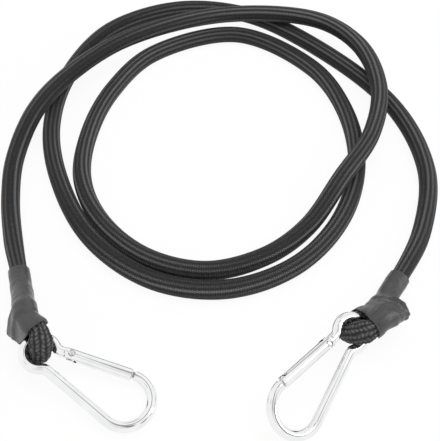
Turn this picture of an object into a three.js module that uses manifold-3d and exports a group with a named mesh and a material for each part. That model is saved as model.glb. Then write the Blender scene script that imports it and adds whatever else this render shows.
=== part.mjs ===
// Bungee cord: an elastic cord laid in loose loops, with a snap hook bound to each end.
// Millimetres, +Z up. The cord lies on the floor plane, and the origin is under the middle of the part.
import * as THREE from 'three';
import { mergeVertices } from 'three/addons/utils/BufferGeometryUtils.js';
import Module from 'manifold-3d';

const wasm = await Module();
wasm.setup();

// Cord
const CORD_RADIUS = 5.0;
const BOUND_RADIUS = 4.3; // squeezed in the eye and under the shrink sleeve
const JACKET_WALL = 0.8;
const CORD_SIDES = 6;
const FLAT_CUT = 1.0; // depth of the flat that the lying cord stands on
const SPAN_STEPS = 3;
const LEG_STEPS = 3;
const BIGHT_STEPS = 8;
const BIGHT_LEAD = 2; // steps of the bight that the sleeve's mouth may reach over
const BOUND_STEPS = 6; // steps of each span where the sleeve is measured from it

// Clearances
const FIT = 0.3; // between pieces that touch
const BIND = 0.4; // between the cord, the crimp band and the shrink sleeve
const EYE_ROOM = 0.8; // round the cord in the eye
const FLOOR_GAP = 0.6; // the bound ends clear the floor that the free cord lies on
const RUN = 0.3; // between pieces that turn or slide on each other
const CROSSING = 0.6; // between strands that cross

// Snap hook
const ROD_RADIUS = 2.6;
const HOOK_SPACING = 45.1; // from the middle of the eye to the middle of the wide end
const WIDE_RADIUS = 12.3; // centre line of the wide end
const WAIST = 4.0; // from the middle of the eye to the centre line of either side
const WAIST_FILLET = 5.0;
const EYE_HEIGHT = 11.4; // the bound end holds the eye this far off the floor
const TILT_ROUNDS = 20; // rounds in which the resting tilt settles
const ROD_SIDES = 10;
const ARC_STEP = Math.PI / 14;

// Gate, its hinge and its nose
const GATE_RADIUS = 3.0;
const GATE_LENGTH = 29.4; // from the rivet to the end at the nose
const RIVET_PLACE = 13.8; // along the side, from the foot of the eye's radius
const FORK_RADIUS = 3.2;
const FORK_DEPTH = 3.4;
const TONGUE_THICKNESS = 1.8;
const HEEL_RADIUS = 2.3;
const CAM_OFFSET = 0.9;
const RIVET_RADIUS = 0.8;
const RIVET_HEAD_RADIUS = 1.4;
const RIVET_HEAD_HEIGHT = 0.5;
const RIVET_REACH = 2.9; // from the middle of the gate to the top of a rivet head
const GATE_SIDES = 20;
const NOSE_GAP = 1.6; // between the gate's end and the shoulder of the frame
const NECK_LENGTH = 2.2;
const NECK_THICKNESS = 1.8;
const NOSE_HEAD_LENGTH = 1.2;
const NOSE_HEAD_THICKNESS = 3.2;
const NOSE_HEIGHT = 2.8;
const NOSE_SWING = 0.45; // room for the gate's end to swing off the nose

// Spring and plunger inside the gate
const SPRING_RADIUS = 0.85; // centre line of the coil
const SPRING_WIRE_RADIUS = 0.2;
const SPRING_CURLS = 8;
const SPRING_PITCH = 1.3;
const PLUNGER_RADIUS = 1.05;
const PLUNGER_LENGTH = 3.4;
const PLUNGER_TRAVEL = 0.4;

// Shrink sleeve and crimp band
const SLEEVE_WALL = 0.7;
const SLEEVE_SIDES = 20;
const SLEEVE_STEP = 2.6;
const LIP_STEPS = 4;
const LIP_SPACING = 0.4;
const LIP_LOW = -0.3; // shares of the section over which the mouth reaches out to its lips
const LIP_HIGH = 0.6;
const SLEEVE_FADE = 4.0; // length over which the sleeve closes in past the cut end of the tail
const BAND_THICKNESS = 0.5;
const BAND_WIDTH = 4.0;
const BAND_PLACE = 14.6; // along the leg, from the top of the rod
const BAND_RAMP = 1.8;

// Sizes that follow from the ones above
const EYE_RADIUS = BOUND_RADIUS + EYE_ROOM + ROD_RADIUS;
const LYING_HEIGHT = CORD_RADIUS - FLAT_CUT;
const CROSSING_HEIGHT = LYING_HEIGHT + 2 * CORD_RADIUS + CROSSING;
const SIDE_ANGLE = Math.asin((WIDE_RADIUS - WAIST) / HOOK_SPACING);
const HEM_HEIGHT = FLOOR_GAP + BOUND_RADIUS + BIND + SLEEVE_WALL;
const BAND_HEIGHT = HEM_HEIGHT + BAND_THICKNESS + BIND;

// Where each hook lies, and the cord's legs from its bight: the eye's place, the turn and roll of the hook,
// the bight's place round the eye and how far its two sides lie apart along the rod, the sleeve's mouth
// as its distance from the rod, its lean and how far its lips stand from the rod along the strands,
// and the points of the short tail and of the long leg.
// The right end lies turned over, with its tail on top.
const ENDS = {
  left: {
    eye: [-83.1, -80.6],
    turn: -26.8,
    roll: 0,
    bight: 137.5,
    skew: -1.5,
    flipped: false,
    mouth: { start: 4.9, lean: 0.5, upperLip: 1.0, lowerLip: 5.0 },
    tail: [[-95.3, -64.3, BAND_HEIGHT], [-93.3, -67.2, BAND_HEIGHT], [-90.8, -70.2, HEM_HEIGHT]],
    leg: [[-87.8, -69.0, 18.8], [-91.2, -64.4, 17.2], [-93.8, -57.6, 15.0], [-96.2, -50.0, 11.0],
      [-98.8, -42.5, 7.6]],
    hem: [-101.8, -33.0, HEM_HEIGHT],
  },
  right: {
    eye: [61.6, -70.4],
    turn: -127.9,
    roll: -33,
    bight: 200.6,
    skew: -1.4,
    flipped: true,
    mouth: { start: 4.4, lean: 0.45, upperLip: -1.2, lowerLip: 3.5 },
    tail: [[84.6, -57.3, 13.1], [80.4, -61.6, 15.0], [75.8, -66.0, 16.8]],
    leg: [[68.7, -59.0, HEM_HEIGHT], [74.8, -57.4, BAND_HEIGHT], [79.6, -52.2, BAND_HEIGHT],
      [84.2, -45.0, HEM_HEIGHT]],
    hem: [90.3, -36.1, HEM_HEIGHT],
  },
};

// The free cord from the left sleeve to the right one: three turns, the first one on top.
const FREE_ROUTE = [
  [-108.5, -12.0, LYING_HEIGHT], [-114.5, 16.0, LYING_HEIGHT], [-115.5, 42.0, 7.0],
  [-107.0, 73.0, 13.8], [-90.0, 103.0, CROSSING_HEIGHT], [-57.0, 135.0, CROSSING_HEIGHT],
  [3.0, 157.5, CROSSING_HEIGHT], [62.0, 152.5, CROSSING_HEIGHT], [86.0, 129.5, CROSSING_HEIGHT],
  [94.5, 92.0, CROSSING_HEIGHT], [85.5, 53.5, CROSSING_HEIGHT], [66.0, 22.5, 13.6],
  [47.0, -3.0, 4.6], [23.5, -22.0, LYING_HEIGHT], [-7.0, -31.0, LYING_HEIGHT],
  [-38.0, -22.5, LYING_HEIGHT], [-63.0, 1.0, LYING_HEIGHT], [-76.0, 30.0, LYING_HEIGHT],
  [-76.5, 63.0, LYING_HEIGHT], [-66.0, 99.0, LYING_HEIGHT], [-42.0, 132.5, LYING_HEIGHT],
  [11.0, 150.5, LYING_HEIGHT], [57.5, 119.5, LYING_HEIGHT], [74.5, 83.0, LYING_HEIGHT],
  [77.5, 41.0, LYING_HEIGHT], [65.0, 2.0, LYING_HEIGHT], [40.0, -27.0, LYING_HEIGHT],
  [5.0, -41.5, LYING_HEIGHT], [-32.0, -37.5, LYING_HEIGHT], [-66.0, -14.0, LYING_HEIGHT],
  [-89.0, 25.0, LYING_HEIGHT], [-99.0, 68.0, LYING_HEIGHT], [-94.5, 112.0, LYING_HEIGHT],
  [-71.0, 155.5, LYING_HEIGHT], [-28.0, 176.5, LYING_HEIGHT], [18.0, 170.5, LYING_HEIGHT],
  [65.0, 135.5, LYING_HEIGHT], [104.0, 85.5, LYING_HEIGHT], [116.0, 36.0, LYING_HEIGHT],
  [106.5, -7.0, LYING_HEIGHT],
];

const MATERIALS = {
  jacket: new THREE.MeshStandardMaterial({ color: 0x2b2b2d, roughness: 0.8, metalness: 0.0 }),
  rubber: new THREE.MeshStandardMaterial({ color: 0xcdbb95, roughness: 0.7, metalness: 0.0 }),
  sleeve: new THREE.MeshStandardMaterial({ color: 0x565658, roughness: 0.6, metalness: 0.0 }),
  plated: new THREE.MeshStandardMaterial({ color: 0xe4e5e7, roughness: 0.15, metalness: 1.0 }),
  steel: new THREE.MeshStandardMaterial({ color: 0xb4b6b9, roughness: 0.35, metalness: 1.0 }),
};

const UP = new THREE.Vector3(0, 0, 1);

function vector(values) {
  return new THREE.Vector3(...values);
}

// Closed geometry from a list of rings with equal counts; the two ends are closed by fans.
function loft(rings) {
  const count = rings[0].length;
  const corners = rings.flat().flatMap((point) => [point.x, point.y, point.z]);
  const faces = [];
  for (let row = 0; row + 1 < rings.length; row += 1) {
    for (let side = 0; side < count; side += 1) {
      const next = (side + 1) % count;
      const a = row * count + side;
      const b = row * count + next;
      faces.push(a, b, b + count, a, b + count, a + count);
    }
  }
  const last = (rings.length - 1) * count;
  for (let side = 1; side + 1 < count; side += 1) {
    faces.push(0, side + 1, side);
    faces.push(last, last + side, last + side + 1);
  }
  return indexedGeometry(corners, faces);
}

// Closed geometry of a hollow tube: outer and inner rings joined at both ends.
function hollowLoft(outer, inner) {
  const count = outer[0].length;
  const rows = outer.length;
  const corners = [...outer.flat(), ...inner.flat()].flatMap((point) => [point.x, point.y, point.z]);
  const inside = rows * count;
  const faces = [];
  for (let side = 0; side < count; side += 1) {
    const next = (side + 1) % count;
    for (let row = 0; row + 1 < rows; row += 1) {
      const a = row * count + side;
      const b = row * count + next;
      faces.push(a, b, b + count, a, b + count, a + count);
      faces.push(inside + a, inside + b + count, inside + b);
      faces.push(inside + a, inside + a + count, inside + b + count);
    }
    const end = (rows - 1) * count;
    faces.push(side, inside + side, inside + next, side, inside + next, next);
    faces.push(end + side, inside + end + next, inside + end + side);
    faces.push(end + side, end + next, inside + end + next);
  }
  return indexedGeometry(corners, faces);
}

function indexedGeometry(corners, faces) {
  const geometry = new THREE.BufferGeometry();
  geometry.setAttribute('position', new THREE.Float32BufferAttribute(corners, 3));
  geometry.setIndex(faces);
  return geometry;
}

function toSolid(geometry) {
  const bare = geometry.clone();
  bare.deleteAttribute('normal');
  bare.deleteAttribute('uv');
  const merged = mergeVertices(bare, 1e-5);
  return new wasm.Manifold(new wasm.Mesh({
    numProp: 3,
    vertProperties: new Float32Array(merged.attributes.position.array),
    triVerts: new Uint32Array(merged.index.array),
  }));
}

function toGeometry(solid) {
  const mesh = solid.getMesh();
  return indexedGeometry(Array.from(mesh.vertProperties), Array.from(mesh.triVerts));
}

// A block between two corners.
function block(low, high) {
  const size = vector(high).sub(vector(low));
  const middle = vector(high).add(vector(low)).multiplyScalar(0.5);
  return new THREE.BoxGeometry(size.x, size.y, size.z).translate(middle.x, middle.y, middle.z);
}

// A round bar along X from one place to another.
function barAlongX(radius, from, to, sides) {
  const bar = new THREE.CylinderGeometry(radius, radius, to - from, sides);
  return bar.rotateZ(Math.PI / 2).translate((from + to) / 2, 0, 0);
}

// A round disc with its axis along Z.
function disc(radius, low, high, sides, x = 0, y = 0) {
  const bar = new THREE.CylinderGeometry(radius, radius, high - low, sides);
  return bar.rotateX(Math.PI / 2).translate(x, y, (low + high) / 2);
}

// Points of an arc in the hook's plane, without its first point.
function arcPoints(middle, radius, from, to) {
  const steps = Math.ceil(Math.abs(to - from) / ARC_STEP);
  const points = [];
  for (let step = 1; step <= steps; step += 1) {
    const angle = from + ((to - from) * step) / steps;
    points.push(new THREE.Vector3(
      middle.x + radius * Math.cos(angle),
      middle.y + radius * Math.sin(angle),
      0,
    ));
  }
  return points;
}

// Directions along the gate's side and square to it, in the hook's plane.
const SIDE = new THREE.Vector3(Math.cos(SIDE_ANGLE), Math.sin(SIDE_ANGLE), 0);
const OUTWARD = new THREE.Vector3(-Math.sin(SIDE_ANGLE), Math.cos(SIDE_ANGLE), 0);

function sidePoint(along) {
  return OUTWARD.clone().multiplyScalar(WAIST).addScaledVector(SIDE, along);
}

function mirrored(point) {
  return new THREE.Vector3(point.x, -point.y, point.z);
}

// Centre line of the bent rod, from the rivet round the eye and the wide end to the shoulder at the nose.
function rodLine() {
  const reach = EYE_RADIUS + WAIST_FILLET;
  const filletPlace = Math.sqrt(reach ** 2 - (WAIST + WAIST_FILLET) ** 2);
  const filletMiddle = sidePoint(filletPlace).addScaledVector(OUTWARD, WAIST_FILLET);
  const eyeAngle = Math.atan2(filletMiddle.y, filletMiddle.x);
  const sideTurn = SIDE_ANGLE - Math.PI / 2;
  const upper = [sidePoint(filletPlace)];
  upper.push(...arcPoints(filletMiddle, WAIST_FILLET, sideTurn, eyeAngle - Math.PI));
  const lower = upper.map(mirrored).reverse();
  const eye = arcPoints(new THREE.Vector3(), EYE_RADIUS, eyeAngle, 2 * Math.PI - eyeAngle);
  const wideMiddle = new THREE.Vector3(HOOK_SPACING, 0, 0);
  const wideTurn = Math.PI / 2 + SIDE_ANGLE;
  const wideStart = sidePoint(HOOK_SPACING * Math.cos(SIDE_ANGLE));
  const shoulder = sidePoint(RIVET_PLACE + GATE_LENGTH + NOSE_GAP);
  const line = [sidePoint(RIVET_PLACE), ...upper, ...eye.slice(0, -1), ...lower, mirrored(wideStart)];
  const wide = arcPoints(wideMiddle, WIDE_RADIUS, -wideTurn, wideTurn);
  const kept = wide.filter((point) => point.clone().sub(shoulder).dot(SIDE) > ROD_RADIUS / 2 || point.y < 0);
  line.push(...kept, shoulder);
  return line;
}

// Round section along a line in the hook's plane.
function rodAlong(line) {
  const rings = line.map((point, index) => {
    const before = line[Math.max(index - 1, 0)];
    const after = line[Math.min(index + 1, line.length - 1)];
    const tangent = after.clone().sub(before).normalize();
    const across = new THREE.Vector3().crossVectors(UP, tangent);
    const ring = [];
    for (let side = 0; side < ROD_SIDES; side += 1) {
      const angle = (2 * Math.PI * side) / ROD_SIDES;
      ring.push(point.clone()
        .addScaledVector(across, ROD_RADIUS * Math.cos(angle))
        .addScaledVector(UP, ROD_RADIUS * Math.sin(angle)));
    }
    return ring;
  });
  return loft(rings);
}

// From the gate's own frame (X along the gate from the rivet, Y out of the hook) to the hook's frame.
const GATE_FRAME = new THREE.Matrix4()
  .makeBasis(SIDE, OUTWARD, UP)
  .setPosition(sidePoint(RIVET_PLACE));

function inHook(geometry) {
  return geometry.applyMatrix4(GATE_FRAME);
}

// Places of the nose along the gate.
const SHOULDER_PLACE = GATE_LENGTH + NOSE_GAP;
const HEAD_BACK = GATE_LENGTH - NECK_LENGTH;
const HEAD_TIP = HEAD_BACK - NOSE_HEAD_LENGTH;

function hookFrame() {
  const half = TONGUE_THICKNESS / 2;
  const beyond = 2 * GATE_RADIUS;
  const tongueStart = -FORK_RADIUS - RUN;
  const upperCut = inHook(block([tongueStart, -beyond, half], [beyond, beyond, beyond]));
  const lowerCut = inHook(block([tongueStart, -beyond, -beyond], [beyond, beyond, -half]));
  const heel = inHook(disc(HEEL_RADIUS, -half, half, GATE_SIDES, 0, -CAM_OFFSET));
  const hole = inHook(disc(RIVET_RADIUS + RUN, -beyond, beyond, GATE_SIDES));
  const neckHalf = NECK_THICKNESS / 2;
  const headHalf = NOSE_HEAD_THICKNESS / 2;
  const noseHalf = NOSE_HEIGHT / 2;
  const rooted = SHOULDER_PLACE + ROD_RADIUS / 4;
  const neck = inHook(block([HEAD_BACK - FIT, -noseHalf, -neckHalf], [rooted, noseHalf, neckHalf]));
  const head = inHook(block([HEAD_TIP, -noseHalf, -headHalf], [HEAD_BACK, noseHalf, headHalf]));
  const solid = toSolid(rodAlong(rodLine()))
    .subtract(toSolid(upperCut))
    .subtract(toSolid(lowerCut))
    .add(toSolid(heel))
    .subtract(toSolid(hole))
    .add(toSolid(neck))
    .add(toSolid(head));
  return toGeometry(solid);
}

// Places along the gate of the plunger and the spring behind it.
const PLUNGER_TIP = HEEL_RADIUS + RUN;
const PLUNGER_BACK = PLUNGER_TIP + PLUNGER_LENGTH;
const SPRING_START = PLUNGER_BACK + PLUNGER_TRAVEL;
const SPRING_LENGTH = SPRING_CURLS * SPRING_PITCH + 4 * SPRING_WIRE_RADIUS;
const BORE_RADIUS = Math.max(PLUNGER_RADIUS, SPRING_RADIUS + SPRING_WIRE_RADIUS) + RUN;
const BORE_END = SPRING_START + SPRING_LENGTH + FIT;

function gateBar() {
  const beyond = 2 * GATE_RADIUS;
  const slotHalf = TONGUE_THICKNESS / 2 + RUN;
  const bar = toSolid(barAlongX(GATE_RADIUS, 0, GATE_LENGTH, GATE_SIDES));
  const hingeBar = toSolid(barAlongX(GATE_RADIUS, -FORK_RADIUS, FORK_RADIUS, GATE_SIDES));
  const round = toSolid(disc(FORK_RADIUS, -beyond, beyond, GATE_SIDES));
  const slot = toSolid(block([-beyond, -beyond, -slotHalf], [FORK_DEPTH, beyond, slotHalf]));
  const hole = toSolid(disc(RIVET_RADIUS + RUN, -beyond, beyond, GATE_SIDES));
  const recess = RIVET_REACH - RIVET_HEAD_HEIGHT - RUN;
  const upperRecess = toSolid(disc(RIVET_HEAD_RADIUS + RUN, recess, beyond, GATE_SIDES));
  const lowerRecess = toSolid(disc(RIVET_HEAD_RADIUS + RUN, -beyond, -recess, GATE_SIDES));
  const bore = toSolid(barAlongX(BORE_RADIUS, 0, BORE_END, GATE_SIDES));
  const noseHalf = NOSE_HEIGHT / 2 + RUN;
  const headHalf = NOSE_HEAD_THICKNESS / 2 + RUN;
  const neckHalf = NECK_THICKNESS / 2 + RUN;
  const pocketBack = HEAD_BACK + NOSE_SWING;
  const pocketTip = HEAD_TIP - NOSE_SWING;
  const pocket = toSolid(block([pocketTip, -noseHalf, -headHalf], [pocketBack, beyond, headHalf]));
  const mouth = toSolid(block([HEAD_BACK, -noseHalf, -neckHalf], [GATE_LENGTH + beyond, beyond, neckHalf]));
  const solid = bar
    .add(hingeBar.intersect(round))
    .subtract(slot)
    .subtract(hole)
    .subtract(upperRecess)
    .subtract(lowerRecess)
    .subtract(bore)
    .subtract(pocket)
    .subtract(mouth);
  return inHook(toGeometry(solid));
}

function hingeRivet() {
  const domeStart = RIVET_REACH - RIVET_HEAD_HEIGHT;
  const domeEdge = RIVET_REACH - RIVET_HEAD_HEIGHT / 2;
  const half = [
    [RIVET_RADIUS, domeStart],
    [RIVET_HEAD_RADIUS, domeStart],
    [RIVET_HEAD_RADIUS, domeEdge],
    [0, RIVET_REACH],
  ];
  const lower = half.map(([radius, height]) => [radius, -height]).reverse();
  const profile = [...lower, ...half].map(([radius, height]) => new THREE.Vector2(radius, height));
  return inHook(new THREE.LatheGeometry(profile, GATE_SIDES).rotateX(Math.PI / 2));
}

function springPlunger() {
  return inHook(barAlongX(PLUNGER_RADIUS, PLUNGER_TIP, PLUNGER_BACK, GATE_SIDES));
}

// One unbroken coil whose wire ends run straight along the gate.
function gateSpring() {
  const stepsPerCurl = 8;
  const wireSides = 5;
  const lead = 2 * SPRING_WIRE_RADIUS;
  const steps = SPRING_CURLS * stepsPerCurl;
  const line = [new THREE.Vector3(SPRING_START, SPRING_RADIUS, 0)];
  for (let step = 0; step <= steps; step += 1) {
    const angle = (2 * Math.PI * step) / stepsPerCurl;
    line.push(new THREE.Vector3(
      SPRING_START + lead + (SPRING_PITCH * step) / stepsPerCurl,
      SPRING_RADIUS * Math.cos(angle),
      SPRING_RADIUS * Math.sin(angle),
    ));
  }
  line.push(line[steps + 1].clone().setX(SPRING_START + SPRING_LENGTH));
  const rings = line.map((point, index) => {
    const before = line[Math.max(index - 1, 0)];
    const after = line[Math.min(index + 1, line.length - 1)];
    const tangent = after.clone().sub(before).normalize();
    const outward = new THREE.Vector3(0, point.y, point.z).normalize();
    const across = new THREE.Vector3().crossVectors(tangent, outward).normalize();
    const square = new THREE.Vector3().crossVectors(across, tangent);
    return circleRing(point, square, across, SPRING_WIRE_RADIUS, wireSides);
  });
  console.log('gate spring, least gap to itself:', (SPRING_PITCH - lead).toFixed(2));
  return inHook(loft(rings));
}

// Ring of points round a place; the second direction is a quarter turn on from the first.
function circleRing(middle, first, second, radius, sides) {
  const ring = [];
  for (let side = 0; side < sides; side += 1) {
    const angle = (2 * Math.PI * (side + 0.5)) / sides;
    ring.push(middle.clone()
      .addScaledVector(first, radius * Math.cos(angle))
      .addScaledVector(second, radius * Math.sin(angle)));
  }
  return ring;
}

function radians(degrees) {
  return (degrees * Math.PI) / 180;
}

// Tilt at which a hook with a given roll touches the floor with its wide end.
function restingTilt(roll) {
  let tilt = 0;
  for (let round = 0; round < TILT_ROUNDS; round += 1) {
    const drop = WIDE_RADIUS * Math.hypot(Math.sin(tilt), Math.sin(roll) * Math.cos(tilt));
    tilt = Math.asin((EYE_HEIGHT - ROD_RADIUS - drop) / HOOK_SPACING);
  }
  return tilt;
}

// Placing of a hook on the floor: its eye raised, its wide end down.
function hookPlacing(end) {
  const placing = new THREE.Matrix4().makeTranslation(end.eye[0], end.eye[1], EYE_HEIGHT);
  placing.multiply(new THREE.Matrix4().makeRotationZ(radians(end.turn)));
  placing.multiply(new THREE.Matrix4().makeRotationY(restingTilt(radians(end.roll))));
  placing.multiply(new THREE.Matrix4().makeRotationX(radians(end.roll)));
  if (end.flipped) {
    placing.multiply(new THREE.Matrix4().makeRotationX(Math.PI));
  }
  return placing;
}

// The half turn of the cord round the rod, from the tail to the long leg.
function bightPoints(end) {
  const placing = hookPlacing(end);
  const place = radians(end.bight);
  const radial = new THREE.Vector3(Math.cos(place), Math.sin(place), 0);
  const sideways = new THREE.Vector3().crossVectors(UP, radial);
  const points = [];
  for (let step = 0; step <= BIGHT_STEPS; step += 1) {
    const angle = Math.PI * (step / BIGHT_STEPS - 0.5);
    points.push(radial.clone()
      .multiplyScalar(EYE_RADIUS * (1 - Math.cos(angle)))
      .addScaledVector(sideways, end.skew * Math.sin(angle))
      .addScaledVector(UP, EYE_RADIUS * Math.sin(angle))
      .applyMatrix4(placing));
  }
  return points;
}

// Knots of one end of the cord, from the cut end of the tail to the sleeve's upper hem.
function endKnots(end) {
  const knot = (point, radius, steps) => ({ point, radius, steps });
  return [
    ...end.tail.map((values) => knot(vector(values), BOUND_RADIUS, LEG_STEPS)),
    ...bightPoints(end).map((point) => knot(point, BOUND_RADIUS, 1)),
    ...end.leg.map((values) => knot(vector(values), BOUND_RADIUS, LEG_STEPS)),
    knot(vector(end.hem), BOUND_RADIUS, LEG_STEPS),
  ];
}

// Smooth line through knots, as places with a radius and a direction.
function smoothLine(knots) {
  const curve = new THREE.CatmullRomCurve3(knots.map((knot) => knot.point), false, 'centripetal');
  const spans = knots.length - 1;
  const line = [];
  for (let span = 0; span < spans; span += 1) {
    const steps = knots[span].steps;
    for (let step = 0; step < steps; step += 1) {
      const part = step / steps;
      line.push({
        point: curve.getPoint((span + part) / spans),
        tangent: curve.getTangent((span + part) / spans),
        radius: THREE.MathUtils.lerp(knots[span].radius, knots[span + 1].radius, part),
        knot: span,
      });
    }
  }
  line.push({
    point: curve.getPoint(1),
    tangent: curve.getTangent(1),
    radius: knots[spans].radius,
    knot: spans,
  });
  return line;
}

const LEFT_KNOTS = endKnots(ENDS.left);
const RIGHT_KNOTS = endKnots(ENDS.right).reverse();
const FREE_KNOTS = FREE_ROUTE.map((values) => ({
  point: vector(values),
  radius: CORD_RADIUS,
  steps: SPAN_STEPS,
}));
const CORD_LINE = smoothLine([...LEFT_KNOTS, ...FREE_KNOTS, ...RIGHT_KNOTS]);

// Below this level share of its direction the cord keeps its last sideways direction.
const STEEP = 0.8;

// Rings of the cord at a depth below its surface, flat where it lies on the floor.
function cordRings(depth) {
  let lastAcross = null;
  return CORD_LINE.map(({ point, tangent, radius }) => {
    const level = new THREE.Vector3().crossVectors(tangent, UP);
    const steep = level.length() < STEEP && lastAcross;
    const across = steep ? lastAcross.clone() : level;
    across.addScaledVector(tangent, -across.dot(tangent)).normalize();
    if (lastAcross && across.dot(lastAcross) < 0) {
      across.negate();
    }
    lastAcross = across;
    const upward = new THREE.Vector3().crossVectors(across, tangent);
    const ring = circleRing(point, upward, across, radius - depth, CORD_SIDES);
    ring.forEach((corner) => corner.setZ(Math.max(corner.z, depth)));
    return ring;
  });
}

// Least gap of the cord to itself, between places more than half a turn of the bight apart along it.
function leastGap() {
  const apart = Math.PI * EYE_RADIUS;
  const along = [0];
  for (let index = 1; index < CORD_LINE.length; index += 1) {
    along.push(along[index - 1] + CORD_LINE[index].point.distanceTo(CORD_LINE[index - 1].point));
  }
  let least = Infinity;
  for (let one = 0; one < CORD_LINE.length; one += 1) {
    for (let two = one + 2; two + 1 < CORD_LINE.length; two += 1) {
      if (along[two] - along[one] > apart) {
        const span = new THREE.Line3(CORD_LINE[two].point, CORD_LINE[two + 1].point);
        const near = span.closestPointToPoint(CORD_LINE[one].point, true, new THREE.Vector3());
        const gap = near.distanceTo(CORD_LINE[one].point) - CORD_LINE[one].radius - CORD_LINE[two].radius;
        least = Math.min(least, gap);
      }
    }
  }
  console.log('cord length:', along[along.length - 1].toFixed(0), 'least gap to itself:', least.toFixed(2));
}

// The bound stretch of one end: the leg and the tail, both from the rod outwards with some of the bight.
function boundStretch(end) {
  const knots = endKnots(end).map((knot) => ({ ...knot, steps: BOUND_STEPS }));
  const line = smoothLine(knots);
  const tailKnots = end.tail.length;
  const top = tailKnots + BIGHT_STEPS;
  const leg = line.filter((place) => place.knot >= top - BIGHT_LEAD);
  const tail = line.filter((place) => place.knot < tailKnots + 1 + BIGHT_LEAD).reverse();
  return {
    leg: withDistance(leg, (place) => place.knot < top),
    tail: withDistance(tail, (place) => place.knot >= tailKnots),
    flipped: end.flipped,
    mouth: end.mouth,
  };
}

// Distance along a line, counted from where it leaves the rod.
function withDistance(line, overRod) {
  let along = 0;
  const placed = line.map((place, index) => {
    if (index > 0) {
      along += place.point.distanceTo(line[index - 1].point);
    }
    return { ...place, along };
  });
  const start = placed.find((place) => !overRod(place)).along;
  return placed.map((place) => ({ ...place, along: place.along - start }));
}

function placeAt(line, along) {
  const found = line.findIndex((place) => place.along >= along);
  const after = found < 0 ? line[line.length - 1] : line[Math.max(found, 1)];
  const before = line[line.indexOf(after) - 1];
  const part = (along - before.along) / (after.along - before.along);
  return {
    point: before.point.clone().lerp(after.point, part),
    tangent: before.tangent.clone().lerp(after.tangent, part).normalize(),
    radius: THREE.MathUtils.lerp(before.radius, after.radius, part),
  };
}

// Section through the bound stretch: the leg's middle, and the tail's where the section meets it.
// Past the cut end of the tail the section draws in to the leg alone.
function boundSection(stretch, along, lean) {
  const leg = placeAt(stretch.leg, along);
  const tailEnd = stretch.tail[stretch.tail.length - 1];
  const tailWay = tailEnd.tangent.clone().negate();
  const double = 1 - THREE.MathUtils.smoothstep(along, tailEnd.along, sleeveLength(stretch));
  const square = leg.tangent.clone().addScaledVector(tailWay, double).normalize();
  square.addScaledVector(UP, lean).normalize();
  const height = (point) => point.clone().sub(leg.point).dot(square);
  const next = stretch.tail.findIndex((place) => height(place.point) > 0);
  const met = next > 0 ? stretch.tail[next] : tailEnd;
  const slant = -met.tangent.dot(square);
  const past = -height(tailEnd.point) - tailEnd.radius * Math.sqrt(1 - slant ** 2);
  const middle = met.point.clone().addScaledVector(met.tangent, height(met.point) / slant);
  const fade = THREE.MathUtils.smoothstep(past, 0, SLEEVE_FADE);
  const legRadius = leg.radius / leg.tangent.dot(square);
  return {
    square,
    toTail: middle.clone().sub(leg.point).normalize(),
    tailAlong: met.along - height(met.point) / slant,
    legMiddle: leg.point,
    legRadius,
    tailMiddle: middle.lerp(leg.point, fade),
    tailRadius: THREE.MathUtils.lerp(tailEnd.radius / slant, legRadius, fade),
  };
}

// Directions round a bound section, counted from the tail's far side: half a turn on the tail,
// a place midway on the flat side, half a turn on the leg and a place midway on the other side.
function ringWays(square, toTail) {
  const sideways = new THREE.Vector3().crossVectors(square, toTail).normalize();
  const first = new THREE.Vector3().crossVectors(sideways, square);
  const ways = [];
  for (let half = 0; half < 2; half += 1) {
    for (let step = 0; step < SLEEVE_SIDES / 2; step += 1) {
      const angle = Math.PI * (half - 0.5 + (2 * step + 1) / SLEEVE_SIDES);
      const way = first.clone().multiplyScalar(Math.cos(angle)).addScaledVector(sideways, Math.sin(angle));
      ways.push({ way, share: Math.cos(angle) });
    }
    ways.push({ way: sideways.clone().multiplyScalar(half === 0 ? 1 : -1), share: 0 });
  }
  return ways;
}

// Ring drawn tight round the leg and the tail, standing off them by a given amount.
function tightRing(stretch, along, standOff, lean = 0) {
  const section = boundSection(stretch, along, lean);
  return ringWays(section.square, section.toTail).map(({ way, share }) => {
    const part = (Math.sign(share) + 1) / 2;
    const radius = THREE.MathUtils.lerp(section.legRadius, section.tailRadius, part);
    return section.legMiddle.clone().lerp(section.tailMiddle, part).addScaledVector(way, radius + standOff);
  });
}

// Ring at the sleeve's mouth, drawn out to the two lips along the strands by a share of their reach.
function mouthRing(stretch, along, standOff, drawn) {
  const { mouth, flipped } = stretch;
  const { toTail, tailAlong } = boundSection(stretch, along, mouth.lean);
  const legLip = flipped ? mouth.lowerLip : mouth.upperLip;
  const tailLip = flipped ? mouth.upperLip : mouth.lowerLip;
  const legPlace = placeAt(stretch.leg, THREE.MathUtils.lerp(along, legLip, drawn));
  const tailPlace = placeAt(stretch.tail, THREE.MathUtils.lerp(tailAlong, tailLip, drawn));
  const legWays = ringWays(legPlace.tangent, toTail);
  const tailWays = ringWays(tailPlace.tangent.clone().negate(), toTail);
  return tightRing(stretch, along, standOff, mouth.lean).map((corner, side) => {
    const { share } = legWays[side];
    const place = share > 0 ? tailPlace : legPlace;
    const way = share > 0 ? tailWays[side].way : legWays[side].way;
    const lip = place.point.clone().addScaledVector(way, place.radius + standOff);
    const reach = share === 0 ? 0 : THREE.MathUtils.smoothstep(Math.abs(share), LIP_LOW, LIP_HIGH);
    return corner.lerp(lip, reach * drawn);
  });
}

function sleeveLength(stretch) {
  return stretch.leg[stretch.leg.length - 1].along;
}

// Evenly spaced places between two ends, without the last.
function evenly(from, to) {
  const steps = Math.max(1, Math.round((to - from) / SLEEVE_STEP));
  return Array.from({ length: steps }, (unused, step) => from + ((to - from) * step) / steps);
}

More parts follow.
